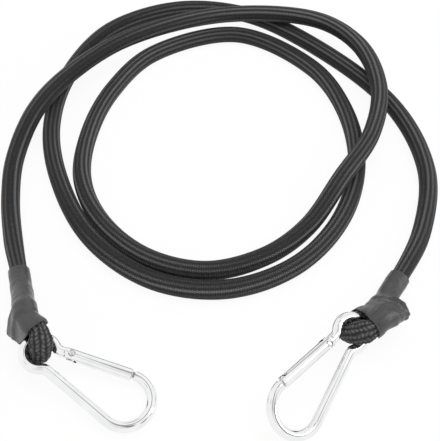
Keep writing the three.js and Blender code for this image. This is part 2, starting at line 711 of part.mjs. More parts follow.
// The sleeve steps out over the crimp band and closes in on the cord on both sides of it.
function shrinkSleeve(stretch) {
  const end = sleeveLength(stretch);
  const { mouth, flipped } = stretch;
  const start = mouth.start - mouth.lean * EYE_RADIUS * (flipped ? -1 : 1);
  const inside = start + LIP_STEPS * LIP_SPACING;
  const bandLow = BAND_PLACE - BAND_WIDTH / 2 - BIND;
  const bandHigh = BAND_PLACE + BAND_WIDTH / 2 + BIND;
  const marks = [inside, bandLow - BAND_RAMP, bandLow, bandHigh, bandHigh + BAND_RAMP, end];
  const places = marks.slice(0, -1).flatMap((mark, index) => evenly(mark, marks[index + 1]));
  const outer = [];
  const inner = [];
  for (let step = 0; step < LIP_STEPS; step += 1) {
    const along = start + step * LIP_SPACING;
    outer.push(mouthRing(stretch, along, BIND + SLEEVE_WALL, 1 - step / LIP_STEPS));
    inner.push(mouthRing(stretch, along, BIND, 1 - step / LIP_STEPS));
  }
  for (const along of [...places, end]) {
    const overBand = along >= bandLow && along <= bandHigh;
    const room = overBand ? 2 * BIND + BAND_THICKNESS : BIND;
    const lean = mouth.lean * (1 - THREE.MathUtils.smoothstep(along, start, bandLow));
    outer.push(tightRing(stretch, along, room + SLEEVE_WALL, lean));
    inner.push(tightRing(stretch, along, room, lean));
  }
  return hollowLoft(outer, inner);
}

function crimpBand(stretch) {
  const low = BAND_PLACE - BAND_WIDTH / 2;
  const high = BAND_PLACE + BAND_WIDTH / 2;
  const places = [...evenly(low, high), high];
  const outer = places.map((along) => tightRing(stretch, along, BIND + BAND_THICKNESS));
  const inner = places.map((along) => tightRing(stretch, along, BIND));
  return hollowLoft(outer, inner);
}

const group = new THREE.Group();

function addPiece(name, geometry, material) {
  const mesh = new THREE.Mesh(geometry, material);
  mesh.name = name;
  group.add(mesh);
}

leastGap();
addPiece('cord_jacket', hollowLoft(cordRings(0), cordRings(JACKET_WALL)), MATERIALS.jacket);
addPiece('rubber_core', loft(cordRings(JACKET_WALL + FIT)), MATERIALS.rubber);
for (const [side, end] of Object.entries(ENDS)) {
  const placing = hookPlacing(end);
  const stretch = boundStretch(end);
  addPiece(`${side}_shrink_sleeve`, shrinkSleeve(stretch), MATERIALS.sleeve);
  addPiece(`${side}_crimp_band`, crimpBand(stretch), MATERIALS.steel);
  addPiece(`${side}_hook_frame`, hookFrame().applyMatrix4(placing), MATERIALS.plated);
  addPiece(`${side}_gate`, gateBar().applyMatrix4(placing), MATERIALS.plated);
  addPiece(`${side}_hinge_rivet`, hingeRivet().applyMatrix4(placing), MATERIALS.steel);
  addPiece(`${side}_gate_spring`, gateSpring().applyMatrix4(placing), MATERIALS.steel);
  addPiece(`${side}_spring_plunger`, springPlunger().applyMatrix4(placing), MATERIALS.steel);
}

// The origin goes under the middle of the part.
const box = new THREE.Box3().setFromObject(group);
const middle = box.getCenter(new THREE.Vector3());
group.position.set(-middle.x, -middle.y, -box.min.z);
console.log('origin moved by:', group.position.toArray().map((value) => value.toFixed(2)).join(' '));

export default group;
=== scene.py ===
"""Looks of the bungee cord: a braided elastic cord with a snap hook bound to each end."""

from math import asin, atan2, ceil, cos, exp, hypot, pi, radians, sin, sqrt

import bmesh
import bpy
import numpy as np
from mathutils import Matrix, Vector, noise


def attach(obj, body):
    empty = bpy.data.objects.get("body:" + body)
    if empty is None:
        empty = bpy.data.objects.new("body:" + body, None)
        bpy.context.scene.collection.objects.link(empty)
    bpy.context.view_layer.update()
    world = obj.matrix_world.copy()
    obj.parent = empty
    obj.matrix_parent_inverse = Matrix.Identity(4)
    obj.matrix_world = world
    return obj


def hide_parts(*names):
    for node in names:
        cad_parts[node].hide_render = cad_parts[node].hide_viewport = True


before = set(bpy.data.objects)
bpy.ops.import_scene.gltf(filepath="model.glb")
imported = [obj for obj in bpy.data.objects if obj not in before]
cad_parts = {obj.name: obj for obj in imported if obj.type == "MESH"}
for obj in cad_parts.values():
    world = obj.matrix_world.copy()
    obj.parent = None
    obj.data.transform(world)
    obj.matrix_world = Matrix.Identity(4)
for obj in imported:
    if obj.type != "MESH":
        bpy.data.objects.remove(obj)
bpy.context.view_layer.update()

MM = 0.001  # metres

# Camera at the photograph's viewing angle, in metres
CAMERA_PLACE = (-0.00003, -0.26614, 0.32831)
CAMERA_TILT = 36.0  # degrees up from looking straight down
CAMERA_LENS = 61.18
CAMERA_SENSOR = 36.0
CAMERA_NEAR = 0.01

# Cord, in millimetres like all sizes of the part
CORD_RADIUS = 5.0
BOUND_RADIUS = 4.3
JACKET_WALL = 0.8
CORE_GAP = 0.3
FLAT_CUT = 1.0  # how much of the lying cord is pressed flat by the floor
CROSSING = 0.6  # room between strands that cross
LYING_HEIGHT = CORD_RADIUS - FLAT_CUT
CROSSING_HEIGHT = LYING_HEIGHT + 2 * CORD_RADIUS + CROSSING
BIGHT_STEPS = 8
BIGHT_LEAD = 2  # steps of the bight that each strand of a bound end takes in
CORD_SIDES = 84
FREE_SPACING = 1.2
BIGHT_SPACING = 0.3
WALL_SHARE = 6  # the inside of the jacket has one ring for this many outside
CORE_SIDES = 24
CORE_FLUTES = 8
FLUTE_DEPTH = 0.12
CORE_SPACING = 4.0
CORE_BIGHT_SPACING = CORE_SPACING / 3
LEAST_TURN = 1e-12  # below this the line is taken as straight

# Relief of the jacket: ribs over the rubber strands, and beads where the braid is drawn round the rod
# Their heights also colour the braid: painted highlight on the crests, painted shade between them.
RIBS = 12
RIB_DEPTH = 0.30
RIB_SINK = 0.05
RIB_SHARE = 0.7  # of the rounded rib in its height; the rest is the yarn along its crest
RIB_WANDER = 0.8  # how far the ribs twist to and fro, in ribs
RIB_WANDER_LENGTH = 160.0
RIB_WANDER_SEED = 3.0
NOISE_LEVEL = 0.5  # off the whole numbers, where the noise is 0
NOISE_GAIN = 2.0
RIB_LEVEL = 0.55  # strength of a rib, and how it changes along the cord
RIB_CHANGE = 0.45
RIB_CHANGE_LENGTH = 90.0
RIB_SEED = 11.0
RIB_SEED_STEP = 7.0
LEAST_RIB = 0.1
ACCENT = 3  # one rib in this many has a raised yarn along its crest
LOW_YARN = 0.15  # height of the other ribs' yarns
YARN_SHARPNESS = 8
WEAVE_ROWS = 1.15  # length of one row of the weave
WEAVE_COLUMNS = 36
BEAD_LENGTH = 1.3
BEAD_COLUMNS = 12
BEAD_SLANT = 0.7  # rows that a stitch climbs across its column
BEAD_DEPTH = 0.5
BEAD_FLOOR = 0.35  # height between the stitches of a column
BEAD_UNEVEN = 1.2  # how much higher or lower a stitch out of line is
BEAD_DRIFT = 0.28  # how far the stitches are out of line, in columns and rows
BEAD_PATCH = 2.2  # length over which that changes
BEADED_UP_TO = (13.0, 19.0)  # from the middle of an eye: where they begin to fade and where they end

# The cord is pressed flat where it goes over and under the rod, and spreads sideways
PRESSED_UP_TO = (7.5, 11.0)  # from the middle of an eye
LEAST_SPREAD = 0.12
ADDED_SPREAD = 0.16
ADDED_BETWEEN = (1.5, 4.5)  # heights over the middle of the rod between which it comes in

# Snap hook
ROD_RADIUS = 2.6
HOOK_SPACING = 45.1
WIDE_RADIUS = 12.3
WAIST = 4.0
WAIST_FILLET = 5.0
EYE_ROOM = 0.8
EYE_HEIGHT = 11.4
EYE_RADIUS = BOUND_RADIUS + EYE_ROOM + ROD_RADIUS
SIDE_ANGLE = asin((WIDE_RADIUS - WAIST) / HOOK_SPACING)
TILT_ROUNDS = 20  # rounds in which the resting tilt settles
ROD_SIDES = 40
ARC_STEP = pi / 72

# Gate, its hinge and its nose
GATE_RADIUS = 3.0
GATE_LENGTH = 29.4
RIVET_PLACE = 13.8
FORK_RADIUS = 3.2
FORK_DEPTH = 3.4
TONGUE_THICKNESS = 1.8
HEEL_RADIUS = 2.3
CAM_OFFSET = 0.9
RIVET_RADIUS = 0.8
RIVET_HEAD_RADIUS = 1.4
RIVET_HEAD_HEIGHT = 0.5
RIVET_REACH = 2.9
RIVET_DOME_STEPS = 8
RIVET_HARD_ANGLE = 45.0
BORE_RADIUS = 1.35
BORE_END = 18.0
NOSE_GAP = 1.6
NECK_LENGTH = 2.2
NECK_THICKNESS = 1.8
NOSE_HEAD_LENGTH = 1.2
NOSE_HEAD_THICKNESS = 3.2
NOSE_HEIGHT = 2.8
NOSE_ROOT = ROD_RADIUS / 4  # how deep the nose is rooted in the rod
NOSE_SWING = 0.45
RUN = 0.3  # room round what moves
GATE_SIDES = 56
EDGE_ROUND = 0.22
EDGE_STEPS = 2
EDGE_ANGLE = 40.0  # edges sharper than this are rounded
HARD_ANGLE = 35.0  # faces that meet at more than this keep a hard edge

# Shrink sleeve
SLEEVE_WALL = 0.7
SLEEVE_HARD_ANGLE = 50.0
BIND = 0.4  # room between what is bound and what binds it
FLOOR_GAP = 0.6
SLEEVE_SIDES = 48
SLEEVE_STEP = 0.6
LIP_STEPS = 8
LIP_SPACING = 0.2
LIP_SIDES = (-0.3, 0.6)  # from the flat sides to the strands: where a lip begins and is full
SLEEVE_FADE = 2.2  # length over which the sleeve closes in past the tail's end
CUT_RIDGE = 1.1  # how far the rim of the tail's cut end pushes the sleeve out
CUT_RIDGE_WIDTH = 1.1
CUT_RIDGE_PLACE = 0.5  # in widths before the cut
CUT_RIDGE_SIDES = (0.0, 0.7)  # towards the tail: where it begins and is full
PUCKER_DEPTH = 0.26
PUCKER_LENGTH = 5.0
FINE_PUCKERS = 0.4  # height and number of the smaller puckers beside the larger ones
FINE_PUCKER_RATE = 2.6
CREASE_HEIGHT = 0.9  # of the creases where the film is gathered round both strands
CREASE_LENGTH = 5.0
CREASE_SHARPNESS = 3.0  # how fast a crease falls off to its sides
CREASED_SIDES = (0.1, 0.7)  # towards the tail: where they begin and are full
CREASED_UP_TO = (14.0, 26.0)  # along the leg: where they begin to fade and where they end
BAND_THICKNESS = 0.5
BAND_WIDTH = 4.0
BAND_PLACE = 14.6
BAND_RAMP = 2.0  # length over which the sleeve rises over the crimp band
BAND_FALL = 5.0  # and over which it closes in again
BOUND_KNOT_STEPS = 10
HEM_HEIGHT = FLOOR_GAP + BOUND_RADIUS + BIND + SLEEVE_WALL
BAND_HEIGHT = HEM_HEIGHT + BAND_THICKNESS + BIND

# The part's origin lies this far from the point that the places below are counted from
ORIGIN_SHIFT = np.array([-0.031, -31.240, 0.0])

ENDS = {
    "left": {
        "eye": (-83.1, -80.6),
        "turn": -26.8,
        "roll": 0.0,
        "bight": 137.5,
        "skew": -1.5,
        "flipped": False,
        "mouth": {"start": 4.9, "lean": 0.5, "upper_lip": 1.0, "lower_lip": 5.0},
        "tail": [(-95.3, -64.3, BAND_HEIGHT), (-93.3, -67.2, BAND_HEIGHT), (-90.8, -70.2, HEM_HEIGHT)],
        "leg": [(-87.8, -69.0, 18.8), (-91.2, -64.4, 17.2), (-93.8, -57.6, 15.0), (-96.2, -50.0, 11.0),
                (-98.8, -42.5, 7.6)],
        "hem": (-101.8, -33.0, HEM_HEIGHT),
    },
    "right": {
        "eye": (61.6, -70.4),
        "turn": -127.9,
        "roll": -33.0,
        "bight": 200.6,
        "skew": -1.4,
        "flipped": True,
        "mouth": {"start": 4.4, "lean": 0.45, "upper_lip": -1.2, "lower_lip": 3.5},
        "tail": [(83.7, -58.2, 13.5), (80.4, -61.6, 15.0), (75.8, -66.0, 16.8)],
        "leg": [(68.7, -59.0, HEM_HEIGHT), (74.8, -57.4, BAND_HEIGHT), (79.6, -52.2, BAND_HEIGHT),
                (84.2, -45.0, HEM_HEIGHT)],
        "hem": (90.3, -36.1, HEM_HEIGHT),
    },
}

# The free cord from the left sleeve to the right one: three turns, the first one on top.
# It lies on the floor where no height is given.
FREE_ROUTE = [
    (-108.5, -12.0), (-114.5, 16.0), (-115.5, 42.0, 7.0), (-107.0, 73.0, 13.8),
    (-90.0, 103.0, CROSSING_HEIGHT), (-57.0, 135.0, CROSSING_HEIGHT), (3.0, 157.5, CROSSING_HEIGHT),
    (62.0, 152.5, CROSSING_HEIGHT), (86.0, 129.5, CROSSING_HEIGHT), (94.5, 92.0, CROSSING_HEIGHT),
    (85.5, 53.5, CROSSING_HEIGHT), (66.0, 22.5, 13.6), (47.0, -3.0, 4.6), (23.5, -22.0),
    (-7.0, -31.0), (-38.2, -22.8), (-63.7, 0.4), (-76.8, 29.7), (-76.5, 63.0), (-66.0, 99.0),
    (-42.0, 132.5), (11.0, 150.5), (57.5, 119.5), (74.5, 83.0), (77.5, 41.0), (65.0, 2.0),
    (40.0, -27.0), (5.0, -41.5), (-32.0, -37.3), (-65.5, -13.5), (-88.1, 25.3), (-99.0, 68.0),
    (-94.5, 112.0), (-71.0, 155.5), (-28.0, 176.5), (18.0, 170.5), (65.0, 135.5), (104.0, 85.5),
    (116.0, 36.0), (106.5, -7.0),
]

# Floor, light and background, in metres
FLOOR_REACH = 4.0
FLOOR_DROP = 0.00005  # keeps the floor's face off the faces that lie on it
FLOOR_GREY = 0.9
FLOOR_GLOW = 0.92  # share of plain white in the floor as it is seen
WHITE = (1.0, 1.0, 1.0, 1.0)
AMBIENT = 0.65
LAMPS = {
    "overhead": {"place": (0.15, 0.1, 0.9), "size": (0.9, 0.7), "power": 4.2, "shines": False},
    "right": {"place": (0.7, -0.15, 0.45), "size": (0.12, 0.8), "power": 1.6, "shines": True},
}

# Dim parts of the studio: bearing, height and reach in degrees, and how dim
STUDIO_SHADES = (
    (-75.0, 58.0, 24.0, 0.16), (-28.0, 36.0, 11.0, 0.8), (-8.0, 24.0, 9.0, 0.65),
    (62.0, 73.0, 8.0, 0.7), (0.0, 83.0, 8.0, 0.7), (-43.0, 71.0, 9.0, 0.75),
    (-54.0, 60.0, 8.0, 0.7), (100.0, 28.0, 16.0, 0.4), (-160.0, 62.0, 8.0, 0.4),
)
SHADE_CORE = 0.55  # share of the reach that is fully dim

UP = np.array([0.0, 0.0, 1.0])


def unit(values):
    return values / np.linalg.norm(values, axis=-1, keepdims=True)


def smoothstep(value, low, high):
    share = np.clip((value - low) / (high - low), 0.0, 1.0)
    return share * share * (3.0 - 2.0 * share)


def mix(one, two, share):
    return one * (1.0 - share) + two * share


def spans(points):
    """Distances between points that follow each other."""
    return np.linalg.norm(np.diff(points, axis=0), axis=1)


def lengths_to(points):
    """How far along their line each point lies."""
    return np.concatenate([[0.0], np.cumsum(spans(points))])


def linked(name, data):
    """A new object of the scene."""
    made = bpy.data.objects.new(name, data)
    bpy.context.scene.collection.objects.link(made)
    return made


# Camera

def add_camera():
    data = bpy.data.cameras.new("camera")
    data.lens = CAMERA_LENS
    data.sensor_width = CAMERA_SENSOR
    data.clip_start = CAMERA_NEAR
    camera = linked("camera", data)
    camera.location = CAMERA_PLACE
    camera.rotation_euler = (radians(CAMERA_TILT), 0.0, 0.0)
    bpy.context.scene.camera = camera


add_camera()
bpy.context.scene.view_settings.view_transform = "Standard"


# Places of the hooks and the line of the cord

def resting_tilt(roll):
    """Tilt at which a hook with a given roll touches the floor with its wide end."""
    tilt = 0.0
    for _ in range(TILT_ROUNDS):
        drop = WIDE_RADIUS * hypot(sin(tilt), sin(roll) * cos(tilt))
        tilt = asin((EYE_HEIGHT - ROD_RADIUS - drop) / HOOK_SPACING)
    return tilt


def hook_placing(end):
    """From a hook's own frame to the part's, in millimetres."""
    x, y = end["eye"]
    roll = radians(end["roll"])
    place = Vector((x, y, EYE_HEIGHT)) + Vector(ORIGIN_SHIFT)
    placing = Matrix.Translation(place) @ Matrix.Rotation(radians(end["turn"]), 4, "Z")
    placing = placing @ Matrix.Rotation(resting_tilt(roll), 4, "Y") @ Matrix.Rotation(roll, 4, "X")
    if end["flipped"]:
        placing = placing @ Matrix.Rotation(pi, 4, "X")
    return placing


def bight_ways(end):
    """Directions of a bight in the hook's own frame: out from the eye, and along the rod."""
    place = radians(end["bight"])
    radial = np.array([cos(place), sin(place), 0.0])
    return radial, np.cross(UP, radial)


def bight_points(end):
    """The half turn of the cord round the rod, from the tail to the long leg."""
    placing = hook_placing(end)
    radial, sideways = bight_ways(end)
    points = []
    for step in range(BIGHT_STEPS + 1):
        angle = pi * (step / BIGHT_STEPS - 0.5)
        point = radial * EYE_RADIUS * (1.0 - cos(angle))
        point = point + sideways * end["skew"] * sin(angle) + UP * EYE_RADIUS * sin(angle)
        points.append(np.array(placing @ Vector(point)))
    return points


def knot(x, y, height=LYING_HEIGHT):
    return np.array([x, y, height]) + ORIGIN_SHIFT


def end_knots(end):
    """Points of one end of the cord, from the cut end of the tail to the sleeve's upper hem."""
    tail = [knot(*point) for point in end["tail"]]
    leg = [knot(*point) for point in [*end["leg"], end["hem"]]]
    return [*tail, *bight_points(end), *leg]


def smooth_line(knots, steps):
    """Points and directions of a smooth line through knots, with each point's knot and share of its span."""
    padded = np.vstack([2 * knots[0] - knots[1], knots, 2 * knots[-1] - knots[-2]])
    points, ways, numbers, shares = [], [], [], []
    for span in range(len(knots) - 1):
        p0, p1, p2, p3 = padded[span:span + 4]
        t0, t1, t2 = (sqrt(np.linalg.norm(b - a)) for a, b in ((p0, p1), (p1, p2), (p2, p3)))
        leave = ((p1 - p0) / t0 - (p2 - p0) / (t0 + t1) + (p2 - p1) / t1) * t1
        enter = ((p2 - p1) / t1 - (p3 - p1) / (t1 + t2) + (p3 - p2) / t2) * t1
        square = 3 * (p2 - p1) - 2 * leave - enter
        cube = leave + enter - 2 * (p2 - p1)
        count = steps[span]
        ends_here = 1 if span == len(knots) - 2 else 0
        for step in range(count + ends_here):
            s = step / count
            points.append(p1 + leave * s + square * s ** 2 + cube * s ** 3)
            ways.append(leave + 2 * square * s + 3 * cube * s ** 2)
            numbers.append(span if step < count else span + 1)
            shares.append(s)
    return np.array(points), unit(np.array(ways)), np.array(numbers), np.array(shares)


def steps_for(knots, spacings):
    """Steps of each span so that the points lie about a given spacing apart."""
    return [max(1, ceil(length / spacing)) for length, spacing in zip(spans(knots), spacings)]


def reflected(way, square):
    """A direction reflected in the plane square to another one."""
    return way - square * 2.0 * square.dot(way) / square.dot(square)


def carried_frames(points, ways):
    """Directions square to a line, carried along it without twist."""
    normals = np.zeros_like(points)
    normals[0] = unit(np.cross(np.cross(ways[0], UP), ways[0]))
    for index, step in enumerate(np.diff(points, axis=0)):
        following = ways[index + 1]
        across = reflected(normals[index], step)
        turn = following - reflected(ways[index], step)
        if turn.dot(turn) > LEAST_TURN:
            across = reflected(across, turn)
        normals[index + 1] = unit(across - following * across.dot(following))
    return normals, np.cross(ways, normals)


LEFT_KNOTS = end_knots(ENDS["left"])
RIGHT_KNOTS = end_knots(ENDS["right"])[::-1]
FREE_KNOTS = [knot(*point) for point in FREE_ROUTE]
CORD_KNOTS = [*LEFT_KNOTS, *FREE_KNOTS, *RIGHT_KNOTS]
KNOT_RADII = np.array([BOUND_RADIUS] * len(LEFT_KNOTS) + [CORD_RADIUS] * len(FREE_KNOTS)
                      + [BOUND_RADIUS] * len(RIGHT_KNOTS))


def cord_line(bound_spacing, free_spacing):
    """Points, directions and radii along the whole cord, and how far along it each point lies."""
    spacings = [bound_spacing] * (len(LEFT_KNOTS) - 1) + [free_spacing] * (len(FREE_KNOTS) + 1)
    spacings += [bound_spacing] * (len(RIGHT_KNOTS) - 1)
    points, ways, numbers, shares = smooth_line(CORD_KNOTS, steps_for(CORD_KNOTS, spacings))
    after = np.minimum(numbers + 1, len(CORD_KNOTS) - 1)
    radii = mix(KNOT_RADII[numbers], KNOT_RADII[after], smoothstep(shares, 0.0, 1.0))
    return points, ways, radii, lengths_to(points)


# Meshes

def mesh_of(name, corners, faces):
    mesh = bpy.data.meshes.new(name)
    mesh.from_pydata(np.asarray(corners).tolist(), [], faces)
    return mesh


def smooth_faces(mesh, hard_angle=None):
    """Smooth faces, with hard edges where they meet at more than an angle in degrees."""
    mesh.polygons.foreach_set("use_smooth", [True] * len(mesh.polygons))
    if hard_angle:
        mesh.set_sharp_from_angle(angle=radians(hard_angle))


def smooth_object(name, corners, faces, hard_angle=None):
    """An object in the part's frame from corners in millimetres."""
    mesh = mesh_of(name, corners * MM, faces)
    smooth_faces(mesh, hard_angle)
    return linked(name, mesh)


def wall_faces(rows, sides, start=0, inward=False):
    """Faces between rings that follow each other."""
    faces = []
    for first in range(start, start + (rows - 1) * sides, sides):
        for side in range(sides):
            a = first + side
            b = first + (side + 1) % sides
            face = (a, b, b + sides, a + sides)
            faces.append(face[::-1] if inward else face)
    return faces


def rim_faces(outer, inner, sides, last=False):
    """Faces that join the outer and the inner ring at an end."""
    faces = []
    for side in range(sides):
        following = (side + 1) % sides
        face = (outer + side, inner + side, inner + following, outer + following)
        faces.append(face[::-1] if last else face)
    return faces


def tube_faces(rows, inner_rows, sides):
    """Faces of a tube with a wall: its outside, its inside and the rims at both ends."""
    inside = rows * sides
    faces = wall_faces(rows, sides)
    faces += wall_faces(inner_rows, sides, inside, inward=True)
    faces += rim_faces(0, inside, sides)
    faces += rim_faces(inside - sides, inside + (inner_rows - 1) * sides, sides, last=True)
    return faces


def end_faces(rows, sides):
    """Faces that close the first and the last ring."""
    last = (rows - 1) * sides
    return [tuple(range(sides))[::-1], tuple(range(last, last + sides))]


def ring_angles(sides):
    return 2.0 * pi * np.arange(sides) / sides


def rings_along(normals, across, sides):
    """Unit directions of rings round a line: one row of directions for each point."""
    angles = ring_angles(sides)
    return (normals[:, None, :] * np.cos(angles)[None, :, None]
            + across[:, None, :] * np.sin(angles)[None, :, None])


def slow_noise(along, seed, length):
    """A smooth value between about -1 and 1 that changes over a given length."""
    places = [Vector((value / length, seed, NOISE_LEVEL)) for value in along]
    return np.array([noise.noise(place) for place in places]) * NOISE_GAIN


def bight_shares(points):
    """How much each point of the cord belongs to a bight that shows in an eye."""
    shares = np.zeros(len(points))
    for end in ENDS.values():
        middle = np.array(hook_placing(end).translation)
        distance = np.linalg.norm(points - middle, axis=1)
        shares = np.maximum(shares, 1.0 - smoothstep(distance, *BEADED_UP_TO))
    return shares


def widened(offsets, points):
    """Rings drawn out sideways where the cord is pressed flat over and under the rod."""
    for end in ENDS.values():
        placing = hook_placing(end)
        turn = np.array(placing.to_3x3())
        sideways = turn @ bight_ways(end)[1]
        local = (points - np.array(placing.translation)) @ turn
        near = 1.0 - smoothstep(np.linalg.norm(local, axis=1), *PRESSED_UP_TO)
        height = np.abs(local[:, 2])
        spread = near * (LEAST_SPREAD + ADDED_SPREAD * smoothstep(height, *ADDED_BETWEEN))
        reach = offsets @ sideways
        offsets = offsets + sideways[None, None, :] * (reach * spread[:, None])[:, :, None]
    return offsets


def stitch_drift(points, directions, shares):
    """How far each place of a bight lies out of the even pattern of its stitches."""
    drift = np.zeros(directions.shape[:2])
    for row in np.nonzero(shares > 0.0)[0]:
        places = (points[row] + directions[row] * BOUND_RADIUS) / BEAD_PATCH
        drift[row] = [noise.noise(Vector(place)) for place in places]
    return drift * BEAD_DRIFT


def rib_heights(along, turns):
    """Height of the ribs at each place of the jacket, from 0 to 1."""
    wander = RIB_WANDER * slow_noise(along, RIB_WANDER_SEED, RIB_WANDER_LENGTH)
    rib = (RIBS * turns[None, :] + wander[:, None]) % RIBS
    crest = 0.5 - 0.5 * np.cos(2.0 * pi * rib)
    number = np.floor(rib).astype(int) % RIBS
    yarn = np.where(number % ACCENT == 0, 1.0, LOW_YARN)
    dome = RIB_SHARE * crest + (1.0 - RIB_SHARE) * yarn * crest ** YARN_SHARPNESS
    seeds = [RIB_SEED + RIB_SEED_STEP * count for count in range(RIBS)]
    changes = np.array([slow_noise(along, seed, RIB_CHANGE_LENGTH) for seed in seeds])
    levels = np.clip(RIB_LEVEL + RIB_CHANGE * changes, LEAST_RIB, 1.0)
    return levels[number, np.arange(len(along))[:, None]] * dome


def bead_heights(along, turns, drift):
    """Height of the stitches at each place of a bight, from 0 to about 1."""
    column = BEAD_COLUMNS * turns[None, :] + drift
    slant = BEAD_SLANT * (column % 1.0 - 0.5) * np.where(np.floor(column) % 2.0 > 0.5, 1.0, -1.0)
    stitch = np.abs(np.sin(pi * (along[:, None] / BEAD_LENGTH + slant + drift)))
    height = BEAD_FLOOR + (1.0 - BEAD_FLOOR) * stitch
    return np.sin(pi * (column % 1.0)) * height * (1.0 + BEAD_UNEVEN * drift)


def give_values(mesh, name, values):
    """A value for each corner of the jacket's outside; the corners of its inside keep 0."""
    layer = mesh.attributes.new(name, "FLOAT", "POINT")
    inside = np.zeros(len(mesh.vertices) - values.size)
    layer.data.foreach_set("value", np.concatenate([values.ravel(), inside]).astype(np.float32))


def add_jacket():
    """The braided jacket: a tube with ribs along it, and beads in its bights."""
    points, ways, radii, along = cord_line(BIGHT_SPACING, FREE_SPACING)
    directions = rings_along(*carried_frames(points, ways), CORD_SIDES)
    turns = ring_angles(CORD_SIDES) / (2.0 * pi)
    shares = bight_shares(points)
    bight = shares[:, None]
    rib = rib_heights(along, turns)
    bead = bead_heights(along, turns, stitch_drift(points, directions, shares))
    relief = mix(RIB_DEPTH * rib - RIB_SINK, BEAD_DEPTH * (bead - 0.5), bight)
    outer = directions * (radii[:, None] + relief)[:, :, None]
    outer = points[:, None, :] + widened(outer, points)
    outer[:, :, 2] = np.maximum(outer[:, :, 2], 0.0)
    picked = sorted({*range(0, len(points), WALL_SHARE), len(points) - 1})
    inner = points[picked, None, :] + directions[picked] * (radii[picked] - JACKET_WALL)[:, None, None]
    inner[:, :, 2] = np.maximum(inner[:, :, 2], JACKET_WALL)
    corners = np.concatenate([outer.reshape(-1, 3), inner.reshape(-1, 3)])
    piece = smooth_object("braided_jacket", corners, tube_faces(len(points), len(picked), CORD_SIDES))
    # heights of the ribs and stitches, which the braid's colour turns into painted highlight on the crests
    # and painted shade between them
    give_values(piece.data, "ridge", mix(rib, bead, bight))
    give_values(piece.data, "drawn", np.repeat(shares, CORD_SIDES))
    lay_weave(piece.data, along, along[picked])
    return piece, points


def lay_weave(mesh, along, inner_along):
    """Weave coordinates: rows along the cord and columns round it."""
    layer = mesh.uv_layers.new(name="weave")
    loops = np.zeros(len(mesh.loops), dtype=np.int32)
    mesh.loops.foreach_get("vertex_index", loops)
    rows = np.repeat(np.concatenate([along, inner_along]), CORD_SIDES) / WEAVE_ROWS
    side = (loops % CORD_SIDES).astype(float).reshape(-1, 4)
    wraps = (side.max(axis=1) - side.min(axis=1)) > CORD_SIDES / 2
    side[wraps] = np.where(side[wraps] == 0.0, CORD_SIDES, side[wraps])
    values = np.stack([rows[loops], side.ravel() * WEAVE_COLUMNS / CORD_SIDES], axis=1)
    layer.data.foreach_set("uv", values.astype(np.float32).ravel())


def add_core():
    """The rubber strands inside the jacket, as one fluted bar."""
    points, ways, radii, _ = cord_line(CORE_BIGHT_SPACING, CORE_SPACING)
    directions = rings_along(*carried_frames(points, ways), CORE_SIDES)
    flute = FLUTE_DEPTH * np.cos(CORE_FLUTES * ring_angles(CORE_SIDES))
    size = radii[:, None] - JACKET_WALL - CORE_GAP - FLUTE_DEPTH + flute[None, :]
    corners = points[:, None, :] + directions * size[:, :, None]
    corners[:, :, 2] = np.maximum(corners[:, :, 2], JACKET_WALL + CORE_GAP)
    faces = wall_faces(len(points), CORE_SIDES) + end_faces(len(points), CORE_SIDES)
    return smooth_object("rubber_strands", corners.reshape(-1, 3), faces)


jacket, jacket_line = add_jacket()
core = add_core()


# Shrink sleeves

class Strand:
    """One strand of a bound end, counted from where it leaves the rod."""

    def __init__(self, points, ways, over_rod):
        along = lengths_to(points)
        self.points = points
        self.ways = ways
        self.along = along - along[np.argmin(over_rod)]

    def at(self, along):
        after = int(np.clip(np.searchsorted(self.along, along), 1, len(self.along) - 1))
        before = after - 1
        share = (along - self.along[before]) / (self.along[after] - self.along[before])
        point = mix(self.points[before], self.points[after], share)
        return point, unit(mix(self.ways[before], self.ways[after], share))


